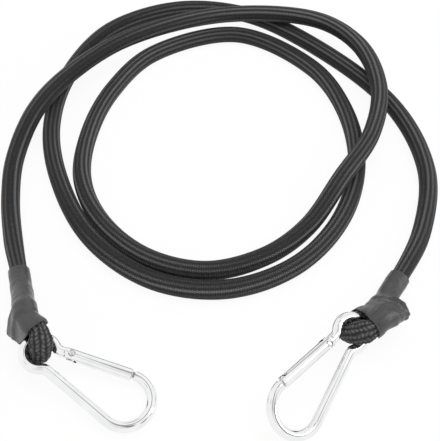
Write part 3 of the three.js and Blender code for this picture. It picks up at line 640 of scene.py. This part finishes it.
class BoundEnd:
    """The doubled cord at one end: the long leg and the short tail, and the sleeve round them."""

    def __init__(self, end):
        knots = end_knots(end)
        points, ways, numbers, _ = smooth_line(knots, [BOUND_KNOT_STEPS] * (len(knots) - 1))
        tail_knots = len(end["tail"])
        top = tail_knots + BIGHT_STEPS
        leg = numbers >= top - BIGHT_LEAD
        tail = numbers < tail_knots + 1 + BIGHT_LEAD
        self.leg = Strand(points[leg], ways[leg], numbers[leg] < top)
        self.tail = Strand(points[tail][::-1], ways[tail][::-1], numbers[tail][::-1] >= tail_knots)
        self.flipped = end["flipped"]
        self.mouth = end["mouth"]
        self.length = self.leg.along[-1]

    def section(self, along, lean):
        """The leg's and the tail's middles and radii in a section square to both."""
        leg, leg_way = self.leg.at(along)
        double = 1.0 - smoothstep(along, self.tail.along[-1], self.length)
        square = unit(unit(leg_way - self.tail.ways[-1] * double) + UP * lean)
        heights = (self.tail.points - leg) @ square
        past = np.nonzero(heights > 0.0)[0]
        met = past[0] if len(past) and past[0] > 0 else len(heights) - 1
        slant = -self.tail.ways[met] @ square
        beyond = -heights[-1] - BOUND_RADIUS * sqrt(max(0.0, 1.0 - slant ** 2))
        middle = self.tail.points[met] + self.tail.ways[met] * heights[met] / slant
        fade = smoothstep(beyond, 0.0, SLEEVE_FADE)
        leg_radius = BOUND_RADIUS / (leg_way @ square)
        return {
            "square": square,
            "to_tail": unit(middle - leg),
            "tail_along": self.tail.along[met] - heights[met] / slant,
            "leg": leg,
            "leg_radius": leg_radius,
            "beyond": beyond,
            "tail": mix(middle, leg, fade),
            "tail_radius": mix(BOUND_RADIUS / slant, leg_radius, fade),
        }

    def tight_ring(self, along, stand_off, lean):
        """A ring drawn tight round the leg and the tail."""
        cut = self.section(along, lean)
        ways, shares = ring_ways(cut["square"], cut["to_tail"])
        part = ((np.sign(shares) + 1.0) / 2.0)[:, None]
        radius = mix(cut["leg_radius"], cut["tail_radius"], part)
        ridge = CUT_RIDGE * exp(-(cut["beyond"] / CUT_RIDGE_WIDTH + CUT_RIDGE_PLACE) ** 2)
        ridge = ridge * smoothstep(shares, *CUT_RIDGE_SIDES)[:, None]
        return mix(cut["leg"], cut["tail"], part) + ways * (radius + stand_off + ridge)

    def mouth_ring(self, along, stand_off, drawn):
        """A ring at the mouth, drawn out to its two lips along the strands."""
        cut = self.section(along, self.mouth["lean"])
        lips = (self.mouth["lower_lip"], self.mouth["upper_lip"])
        leg_lip, tail_lip = lips if self.flipped else lips[::-1]
        leg, leg_way = self.leg.at(mix(along, leg_lip, drawn))
        tail, tail_way = self.tail.at(mix(cut["tail_along"], tail_lip, drawn))
        leg_ways, _ = ring_ways(leg_way, cut["to_tail"])
        tail_ways, shares = ring_ways(-tail_way, cut["to_tail"])
        radius = BOUND_RADIUS + stand_off
        lip = np.where((shares > 0.0)[:, None], tail + tail_ways * radius, leg + leg_ways * radius)
        reach = smoothstep(np.abs(shares), *LIP_SIDES)
        reach = np.where(shares == 0.0, 0.0, reach)[:, None]
        return mix(self.tight_ring(along, stand_off, self.mouth["lean"]), lip, reach * drawn)


def ring_ways(square, to_tail):
    """Directions round a section from the tail's far side, with a place midway on each flat side."""
    sideways = unit(np.cross(square, to_tail))
    first = np.cross(sideways, square)
    ways, shares = [], []
    for half in range(2):
        for step in range(SLEEVE_SIDES // 2):
            angle = pi * (half - 0.5 + (2 * step + 1) / SLEEVE_SIDES)
            ways.append(first * cos(angle) + sideways * sin(angle))
            shares.append(cos(angle))
        ways.append(sideways if half == 0 else -sideways)
        shares.append(0.0)
    return np.array(ways), np.array(shares)


def puckered(ring, middle, to_tail, gathered):
    """A ring of the sleeve as uneven as shrunk film, with creases where it is gathered at the tail."""
    outward = unit(ring - middle)
    places = [Vector(point) / PUCKER_LENGTH for point in ring]
    rise = [noise.noise(place) + FINE_PUCKERS * noise.noise(place * FINE_PUCKER_RATE) for place in places]
    folds = np.array([abs(noise.noise(Vector(point) / CREASE_LENGTH)) for point in ring])
    creases = CREASE_HEIGHT * gathered * np.clip(1.0 - CREASE_SHARPNESS * folds, 0.0, 1.0)
    creases = creases * smoothstep(outward @ to_tail, *CREASED_SIDES)
    made = ring + outward * (PUCKER_DEPTH * np.array(rise) + creases)[:, None]
    made[:, 2] = np.maximum(made[:, 2], 0.0)
    return made


def add_sleeve(side):
    """The sleeve: drawn tight round both strands, with a soft step over the crimp band."""
    end = BoundEnd(ENDS[side])
    mouth = end.mouth
    start = mouth["start"] - mouth["lean"] * EYE_RADIUS * (-1.0 if end.flipped else 1.0)
    inside = start + LIP_STEPS * LIP_SPACING
    band_low = BAND_PLACE - BAND_WIDTH / 2 - BIND
    band_high = BAND_PLACE + BAND_WIDTH / 2 + BIND
    outer, inner = [], []
    for step in range(LIP_STEPS):
        along = start + step * LIP_SPACING
        outer.append(end.mouth_ring(along, BIND + SLEEVE_WALL, 1.0 - step / LIP_STEPS))
        inner.append(end.mouth_ring(along, BIND, 1.0 - step / LIP_STEPS))
    count = round((end.length - inside) / SLEEVE_STEP)
    for along in np.linspace(inside, end.length, count):
        over = smoothstep(along, band_low - BAND_RAMP, band_low)
        over = over * (1.0 - smoothstep(along, band_high, band_high + BAND_FALL))
        room = BIND + over * (BIND + BAND_THICKNESS)
        lean = mouth["lean"] * (1.0 - smoothstep(along, start, band_low))
        gathered = smoothstep(along, inside, inside + BAND_WIDTH)
        gathered = gathered * (1.0 - smoothstep(along, *CREASED_UP_TO))
        ring = end.tight_ring(along, room + SLEEVE_WALL, lean)
        cut = end.section(along, lean)
        outer.append(puckered(ring, cut["leg"], cut["to_tail"], gathered))
        inner.append(end.tight_ring(along, room, lean))
    faces = tube_faces(len(outer), len(inner), len(outer[0]))
    corners = np.concatenate([*outer, *inner])
    return smooth_object(f"{side}_shrink_skin", corners, faces, SLEEVE_HARD_ANGLE)


# Snap hooks

SIDE = Vector((cos(SIDE_ANGLE), sin(SIDE_ANGLE), 0.0))
OUTWARD = Vector((-sin(SIDE_ANGLE), cos(SIDE_ANGLE), 0.0))


def side_point(along):
    return OUTWARD * WAIST + SIDE * along


def mirrored(point):
    return Vector((point.x, -point.y, point.z))


def arc_points(middle, radius, start, end):
    """Points of an arc in the hook's plane, without its first point."""
    steps = ceil(abs(end - start) / ARC_STEP)
    angles = [start + (end - start) * step / steps for step in range(1, steps + 1)]
    return [Vector((middle.x + radius * cos(a), middle.y + radius * sin(a), 0.0)) for a in angles]


def rod_line():
    """Centre line of the bent rod, from the rivet round the eye and the wide end to the nose."""
    reach = EYE_RADIUS + WAIST_FILLET
    fillet_place = sqrt(reach ** 2 - (WAIST + WAIST_FILLET) ** 2)
    fillet_middle = side_point(fillet_place) + OUTWARD * WAIST_FILLET
    eye_angle = atan2(fillet_middle.y, fillet_middle.x)
    side_turn = SIDE_ANGLE - pi / 2
    upper = [side_point(fillet_place)]
    upper += arc_points(fillet_middle, WAIST_FILLET, side_turn, eye_angle - pi)
    lower = [mirrored(point) for point in upper][::-1]
    eye = arc_points(Vector(), EYE_RADIUS, eye_angle, 2 * pi - eye_angle)
    wide_turn = pi / 2 + SIDE_ANGLE
    wide_start = side_point(HOOK_SPACING * cos(SIDE_ANGLE))
    shoulder = side_point(RIVET_PLACE + GATE_LENGTH + NOSE_GAP)
    wide = arc_points(Vector((HOOK_SPACING, 0.0, 0.0)), WIDE_RADIUS, -wide_turn, wide_turn)
    step = ARC_STEP * WIDE_RADIUS
    kept = [point for point in wide if point.y < 0.0 or (point - shoulder).dot(SIDE) > step]
    return [side_point(RIVET_PLACE), *upper, *eye[:-1], *lower, mirrored(wide_start), *kept, shoulder]


def rod_along(line):
    """Corners and faces of a round rod along a line in the hook's plane."""
    points = np.array(line)
    ways = unit(np.gradient(points, axis=0))
    ways[0] = unit(points[1] - points[0])
    ways[-1] = unit(points[-1] - points[-2])
    directions = rings_along(np.cross(UP, ways), np.tile(UP, (len(points), 1)), ROD_SIDES)
    corners = points[:, None, :] + directions * ROD_RADIUS
    faces = wall_faces(len(points), ROD_SIDES) + end_faces(len(points), ROD_SIDES)
    return corners.reshape(-1, 3), [face[::-1] for face in faces]


GATE_FRAME = Matrix.Translation(side_point(RIVET_PLACE)) @ Matrix((
    (SIDE.x, OUTWARD.x, 0.0, 0.0),
    (SIDE.y, OUTWARD.y, 0.0, 0.0),
    (0.0, 0.0, 1.0, 0.0),
    (0.0, 0.0, 0.0, 1.0),
))


def solid_from(build):
    """A working object in millimetres whose mesh is filled in by a function."""
    mesh = bpy.data.meshes.new("working")
    shape = bmesh.new()
    build(shape)
    bmesh.ops.recalc_face_normals(shape, faces=shape.faces)
    shape.to_mesh(mesh)
    shape.free()
    return linked("working", mesh)


def block(low, high):
    """A box between its lowest and its highest corner."""
    size = Vector(high) - Vector(low)
    middle = (Vector(high) + Vector(low)) / 2
    matrix = Matrix.Translation(middle) @ Matrix.Diagonal((*size, 1.0))
    return solid_from(lambda shape: bmesh.ops.create_cube(shape, size=1.0, matrix=matrix))


def bar(radius, start, end, axis):
    """A round bar along X or Z from one place to another."""
    matrix = Matrix.Translation((0.0, 0.0, (start + end) / 2))
    if axis == "X":
        matrix = Matrix.Translation(((start + end) / 2, 0.0, 0.0)) @ Matrix.Rotation(pi / 2, 4, "Y")
    return solid_from(lambda shape: bmesh.ops.create_cone(
        shape, cap_ends=True, segments=GATE_SIDES, radius1=radius, radius2=radius, depth=end - start,
        matrix=matrix))


def moved(piece, matrix):
    piece.data.transform(matrix)
    return piece


def combined(base, other, operation):
    """The base joined with, cut by or kept inside another solid, which is used up."""
    modifier = base.modifiers.new("combine", "BOOLEAN")
    modifier.operation = operation
    modifier.solver = "EXACT"
    modifier.object = other
    graph = bpy.context.evaluated_depsgraph_get()
    mesh = bpy.data.meshes.new_from_object(base.evaluated_get(graph))
    base.modifiers.clear()
    base.data = mesh
    bpy.data.objects.remove(other)
    return base


def finished(piece, name, placing):
    """A working solid with rounded edges, put in its place."""
    piece.name = name
    piece.data.name = name
    piece.data.transform(Matrix.Scale(MM, 4) @ placing)
    smooth_faces(piece.data, HARD_ANGLE)
    edge = piece.modifiers.new("edge", "BEVEL")
    edge.width = EDGE_ROUND * MM
    edge.segments = EDGE_STEPS
    edge.limit_method = "ANGLE"
    edge.angle_limit = radians(EDGE_ANGLE)
    edge.harden_normals = True
    return piece


def add_frame_rod(side, placing):
    """The bent rod, flattened to a tongue at the hinge, with a nose for the gate to close over."""
    half = TONGUE_THICKNESS / 2
    beyond = 2 * GATE_RADIUS
    tongue_start = -FORK_RADIUS - RUN
    piece = linked("working", mesh_of("working", *rod_along(rod_line())))
    head_back = GATE_LENGTH - NECK_LENGTH
    head_tip = head_back - NOSE_HEAD_LENGTH
    rooted = GATE_LENGTH + NOSE_GAP + NOSE_ROOT
    nose_half = NOSE_HEIGHT / 2
    neck_half = NECK_THICKNESS / 2
    head_half = NOSE_HEAD_THICKNESS / 2
    heel = moved(bar(HEEL_RADIUS, -half, half, "Z"), Matrix.Translation((0.0, -CAM_OFFSET, 0.0)))
    steps = [
        (block((tongue_start, -beyond, half), (beyond, beyond, beyond)), "DIFFERENCE"),
        (block((tongue_start, -beyond, -beyond), (beyond, beyond, -half)), "DIFFERENCE"),
        (heel, "UNION"),
        (bar(RIVET_RADIUS + RUN, -beyond, beyond, "Z"), "DIFFERENCE"),
        (block((head_back - RUN, -nose_half, -neck_half), (rooted, nose_half, neck_half)), "UNION"),
        (block((head_tip, -nose_half, -head_half), (head_back, nose_half, head_half)), "UNION"),
    ]
    for other, operation in steps:
        piece = combined(piece, moved(other, GATE_FRAME), operation)
    return finished(piece, f"{side}_hook_rod", placing)


def add_gate(side, placing):
    """The gate: a bored bar with a fork at the hinge and a slot that takes in the nose."""
    beyond = 2 * GATE_RADIUS
    slot_half = TONGUE_THICKNESS / 2 + RUN
    recess = RIVET_REACH - RIVET_HEAD_HEIGHT - RUN
    nose_half = NOSE_HEIGHT / 2 + RUN
    head_half = NOSE_HEAD_THICKNESS / 2 + RUN
    neck_half = NECK_THICKNESS / 2 + RUN
    head_back = GATE_LENGTH - NECK_LENGTH
    pocket_start = head_back - NOSE_HEAD_LENGTH - NOSE_SWING
    hinge = bar(GATE_RADIUS, -FORK_RADIUS, FORK_RADIUS, "X")
    hinge = combined(hinge, bar(FORK_RADIUS, -beyond, beyond, "Z"), "INTERSECT")
    piece = combined(bar(GATE_RADIUS, 0.0, GATE_LENGTH, "X"), hinge, "UNION")
    cuts = [
        block((-beyond, -beyond, -slot_half), (FORK_DEPTH, beyond, slot_half)),
        bar(RIVET_RADIUS + RUN, -beyond, beyond, "Z"),
        bar(RIVET_HEAD_RADIUS + RUN, recess, beyond, "Z"),
        bar(RIVET_HEAD_RADIUS + RUN, -beyond, -recess, "Z"),
        bar(BORE_RADIUS, 0.0, BORE_END, "X"),
        block((pocket_start, -nose_half, -head_half), (head_back + NOSE_SWING, beyond, head_half)),
        block((head_back, -nose_half, -neck_half), (GATE_LENGTH + beyond, beyond, neck_half)),
    ]
    for cut in cuts:
        piece = combined(piece, cut, "DIFFERENCE")
    return finished(moved(piece, GATE_FRAME), f"{side}_gate_bar", placing)


def add_rivet(side, placing):
    """A rivet with a low dome at each end."""
    shoulder = RIVET_REACH - RIVET_HEAD_HEIGHT
    half = [(RIVET_RADIUS, shoulder)]
    for step in range(RIVET_DOME_STEPS + 1):
        angle = pi / 2 * step / RIVET_DOME_STEPS
        half.append((RIVET_HEAD_RADIUS * cos(angle), shoulder + RIVET_HEAD_HEIGHT * sin(angle)))
    profile = [(radius, -height) for radius, height in half[::-1]] + half
    corners = []
    for radius, height in profile[1:-1]:
        corners += [(radius * cos(a), radius * sin(a), height) for a in ring_angles(GATE_SIDES)]
    faces = wall_faces(len(profile) - 2, GATE_SIDES)
    bottom = len(corners)
    top = bottom + 1
    last = bottom - GATE_SIDES
    corners += [(0.0, 0.0, profile[0][1]), (0.0, 0.0, profile[-1][1])]
    for number in range(GATE_SIDES):
        following = (number + 1) % GATE_SIDES
        faces.append((bottom, following, number))
        faces.append((top, last + number, last + following))
    mesh = mesh_of("working", corners, faces)
    mesh.transform(Matrix.Scale(MM, 4) @ placing @ GATE_FRAME)
    smooth_faces(mesh, RIVET_HARD_ANGLE)
    return linked(f"{side}_rivet_pin", mesh)


# Materials

class Nodes:
    """The nodes of a material or a world, with short ways to add to them."""

    def __init__(self, owner, output):
        owner.use_nodes = True
        self.tree = owner.node_tree
        self.tree.nodes.clear()
        self.out = self.tree.nodes.new(output)

    def add(self, kind, inputs=(), **settings):
        node = self.tree.nodes.new(kind)
        for setting, value in settings.items():
            setattr(node, setting, value)
        for socket, value in dict(inputs).items():
            self.give(node, socket, value)
        return node

    def give(self, node, socket, value):
        if isinstance(value, bpy.types.NodeSocket):
            self.tree.links.new(value, node.inputs[socket])
        else:
            node.inputs[socket].default_value = value

    def math(self, operation, *values):
        return self.add("ShaderNodeMath", enumerate(values), operation=operation).outputs[0]

    def show(self, share, one, two):
        """Show a mix of two surfaces."""
        both = self.add("ShaderNodeMixShader", {0: share, 1: one.outputs[0], 2: two.outputs[0]})
        self.give(self.out, "Surface", both.outputs[0])


class Shader(Nodes):
    """A material with one surface shader."""

    def __init__(self, name, **sockets):
        self.material = bpy.data.materials.new(name)
        super().__init__(self.material, "ShaderNodeOutputMaterial")
        self.surface = self.add("ShaderNodeBsdfPrincipled")
        self.give(self.out, "Surface", self.surface.outputs["BSDF"])
        for socket, value in sockets.items():
            self.set(socket.replace("_", " "), value)

    def scaled(self, value, slope, start):
        return self.math("MULTIPLY_ADD", value, slope, start)

    def hump(self, value):
        """A smooth hump over each whole step of a value."""
        return self.math("SINE", self.math("MULTIPLY", self.math("FRACT", value), pi))

    def noise(self, scale, detail=4.0, stretch=None):
        place = self.add("ShaderNodeTexCoord").outputs["Object"]
        if stretch:
            place = self.add("ShaderNodeMapping", {"Vector": place, "Scale": stretch}).outputs[0]
        node = self.add("ShaderNodeTexNoise", {"Vector": place, "Scale": scale, "Detail": detail})
        return node.outputs["Fac"]

    def value_of(self, name):
        return self.add("ShaderNodeAttribute", attribute_name=name).outputs["Fac"]

    def colour(self, value, *stops):
        """Colour the surface by a value, from a place and a colour for each stop."""
        node = self.add("ShaderNodeValToRGB", {"Fac": value})
        elements = node.color_ramp.elements
        while len(elements) < len(stops):
            elements.new(0.5)
        for element, (place, colour) in zip(elements, stops):
            element.position = place
            element.color = (*colour, 1.0)
        self.set("Base Color", node.outputs["Color"])

    def bump(self, height, distance, strength, under=None):
        node = self.add("ShaderNodeBump", {"Height": height, "Distance": distance, "Strength": strength})
        if under is not None:
            self.give(node, "Normal", under)
        return node.outputs["Normal"]

    def set(self, socket, value):
        self.give(self.surface, socket, value)


def grey(value):
    return (value, value, value)


def braid_material():
    """Black braid, painted lighter on the crests of its ribs and stitches as highlight and darker in the
    grooves between them as shade, with fine cross marks on the ribs of the free cord, painted brighter on
    the crests.
    """
    made = Shader("braided_sheath", Specular_IOR_Level=0.22, Sheen_Weight=0.04, Sheen_Roughness=0.4)
    weave = made.add("ShaderNodeUVMap", uv_map="weave").outputs["UV"]
    parts = made.add("ShaderNodeSeparateXYZ", {"Vector": weave}).outputs
    row = parts["X"]
    column = made.scaled(made.math("FLOOR", row), 0.5, parts["Y"])
    stitch = made.math("MULTIPLY", made.hump(row), made.hump(column))
    ridge = made.value_of("ridge")
    drawn = made.value_of("drawn")
    free = made.math("SUBTRACT", 1.0, drawn)
    yarn = made.noise(scale=1100.0, detail=3.0)
    # The cross marks show most on the rib crests: a painted highlight.
    mark_highlight = made.math("MULTIPLY", free, made.scaled(ridge, slope=1.1, start=0.12))
    share = made.scaled(drawn, slope=0.25, start=0.45)
    # Colour rises with the heights of the ribs and stitches: painted highlight on the crests, painted shade
    # in the grooves, and more of it in the bights.
    level = made.scaled(stitch, mark_highlight, made.math("MULTIPLY", ridge, share))
    level = made.scaled(yarn, slope=0.5, start=level)
    made.colour(level, (0.25, grey(0.010)), (0.55, grey(0.036)), (1.0, grey(0.14)))
    made.set("Roughness", made.scaled(yarn, slope=0.2, start=0.55))
    normal = made.bump(made.math("MULTIPLY", stitch, free), distance=0.00018, strength=0.8)
    made.set("Normal", made.bump(yarn, distance=0.00006, strength=0.5, under=normal))
    return made.material


def rubber_material():
    """Pale latex."""
    made = Shader("elastic_core", Roughness=0.7)
    spots = made.noise(scale=260.0)
    made.colour(spots, (0.3, (0.60, 0.54, 0.42)), (0.7, (0.74, 0.68, 0.55)))
    made.set("Normal", made.bump(spots, distance=0.0002, strength=0.4))
    return made.material


def sleeve_material():
    """Grey-black film, cloudy, with a fine grain."""
    made = Shader("heat_shrink", Sheen_Weight=0.1, Sheen_Roughness=0.3)
    clouds = made.noise(scale=110.0, detail=3.0)
    grain = made.noise(scale=1400.0)
    level = made.scaled(grain, slope=0.35, start=made.math("MULTIPLY", clouds, 0.65))
    made.colour(level, (0.3, grey(0.024)), (0.7, grey(0.066)))
    made.set("Roughness", made.scaled(clouds, slope=0.2, start=0.24))
    normal = made.bump(clouds, distance=0.0012, strength=0.5)
    made.set("Normal", made.bump(grain, distance=0.00005, strength=0.5, under=normal))
    return made.material


def polished_material():
    """Bright polish with smears and faint scratches."""
    made = Shader("polished_steel", Metallic=1.0, Roughness=0.1)
    smear = made.noise(scale=120.0, detail=3.0)
    scratches = made.noise(scale=500.0, detail=5.0, stretch=(1.0, 0.08, 1.0))
    made.colour(smear, (0.3, (0.84, 0.843, 0.85)), (0.7, (0.91, 0.912, 0.916)))
    made.set("Roughness", made.scaled(smear, slope=0.05, start=0.01))
    made.set("Normal", made.bump(scratches, distance=0.00001, strength=0.25))
    return made.material


def steel_material(name, base, rough, scale):
    """Plain steel with a drawn grain."""
    made = Shader(name, Metallic=1.0, Roughness=rough)
    grain = made.noise(scale, stretch=(1.0, 0.2, 1.0))
    made.colour(grain, (0.3, grey(base * 0.85)), (0.7, grey(base)))
    made.set("Roughness", made.scaled(grain, slope=0.2, start=rough - 0.1))
    made.set("Normal", made.bump(grain, distance=0.00002, strength=0.4))
    return made.material


BRAID = braid_material()
RUBBER = rubber_material()
SHRINK = sleeve_material()
POLISHED = polished_material()
RIVET_STEEL = steel_material("rivet_steel", base=0.78, rough=0.3, scale=700.0)
CRIMP_STEEL = steel_material("crimp_steel", base=0.6, rough=0.45, scale=900.0)
SPRING_STEEL = steel_material("spring_steel", base=0.62, rough=0.4, scale=1500.0)


def dress(piece, body, node, material):
    """A piece that stands for a node, rides on its body and has its finish."""
    piece.data.materials.clear()
    piece.data.materials.append(material)
    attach(piece, body)
    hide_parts(node)


def coat(node, material):
    """A node of the frame with a better finish."""
    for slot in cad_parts[node].material_slots:
        slot.material = material


dress(jacket, "cord", "cord_jacket", BRAID)
dress(core, "cord", "rubber_core", RUBBER)

for side, end in ENDS.items():
    placing = hook_placing(end)
    dress(add_sleeve(side), "cord", f"{side}_shrink_sleeve", SHRINK)
    dress(add_frame_rod(side, placing), f"{side}_hook", f"{side}_hook_frame", POLISHED)
    dress(add_gate(side, placing), f"{side}_gate", f"{side}_gate", POLISHED)
    dress(add_rivet(side, placing), f"{side}_hook", f"{side}_hinge_rivet", RIVET_STEEL)
    coat(f"{side}_crimp_band", CRIMP_STEEL)
    coat(f"{side}_gate_spring", SPRING_STEEL)
    coat(f"{side}_spring_plunger", SPRING_STEEL)


# Floor, light and background

def add_floor():
    """A pale floor that looks white and keeps the object's shadow."""
    signs = ((-1, -1), (1, -1), (1, 1), (-1, 1))
    corners = [(x * FLOOR_REACH, y * FLOOR_REACH, -FLOOR_DROP) for x, y in signs]
    floor = linked("floor", mesh_of("floor", corners, [(0, 1, 2, 3)]))
    material = bpy.data.materials.new("floor")
    nodes = Nodes(material, "ShaderNodeOutputMaterial")
    paint = nodes.add("ShaderNodeBsdfDiffuse", {"Color": (*grey(FLOOR_GREY), 1.0)})
    glow = nodes.add("ShaderNodeEmission", {"Color": WHITE})
    rays = nodes.add("ShaderNodeLightPath").outputs
    seen = nodes.math("MAXIMUM", rays["Is Camera Ray"], rays["Is Glossy Ray"])
    nodes.show(nodes.math("MULTIPLY", seen, FLOOR_GLOW), paint, glow)
    floor.data.materials.append(material)


def add_world():
    """Even white light; polished metal also sees the dim parts of a studio."""
    world = bpy.data.worlds.new("studio")
    bpy.context.scene.world = world
    nodes = Nodes(world, "ShaderNodeOutputWorld")
    rays = nodes.add("ShaderNodeLightPath").outputs
    place = nodes.add("ShaderNodeTexCoord").outputs["Generated"]
    level = 1.0
    for bearing, height, reach, dimness in STUDIO_SHADES:
        turn, climb = radians(bearing), radians(height)
        towards = (cos(climb) * cos(turn), cos(climb) * sin(turn), sin(climb))
        near = nodes.add("ShaderNodeVectorMath", {0: place, 1: towards}, operation="DOT_PRODUCT")
        shade = nodes.add("ShaderNodeMapRange", {
            "Value": near.outputs["Value"],
            "From Min": cos(radians(reach)),
            "From Max": cos(radians(reach * SHADE_CORE)),
            "To Min": 1.0,
            "To Max": 1.0 - dimness,
        }, interpolation_type="SMOOTHSTEP")
        level = nodes.math("MULTIPLY", shade.outputs["Result"], level)
    glossy = rays["Is Glossy Ray"]
    dimmed = nodes.add("ShaderNodeMix", {"Factor": glossy, 2: 1.0, 3: level}, data_type="FLOAT")
    ambient = nodes.add("ShaderNodeBackground", {"Color": WHITE, "Strength": AMBIENT})
    white = nodes.add("ShaderNodeBackground", {"Color": WHITE, "Strength": dimmed.outputs[0]})
    mirrors = nodes.math("MAXIMUM", glossy, rays["Is Transmission Ray"])
    nodes.show(nodes.math("MAXIMUM", rays["Is Camera Ray"], mirrors), ambient, white)


def add_lamp(name, place, size, power, shines):
    """A soft lamp that points at the part's origin."""
    data = bpy.data.lights.new(name, "AREA")
    data.shape = "RECTANGLE"
    data.size, data.size_y = size
    data.energy = power
    lamp = linked(name, data)
    lamp.location = place
    lamp.visible_glossy = shines
    lamp.rotation_euler = (-Vector(place)).to_track_quat("-Z", "Y").to_euler()


add_floor()
add_world()
for lamp_name, lamp in LAMPS.items():
    add_lamp(lamp_name, **lamp)
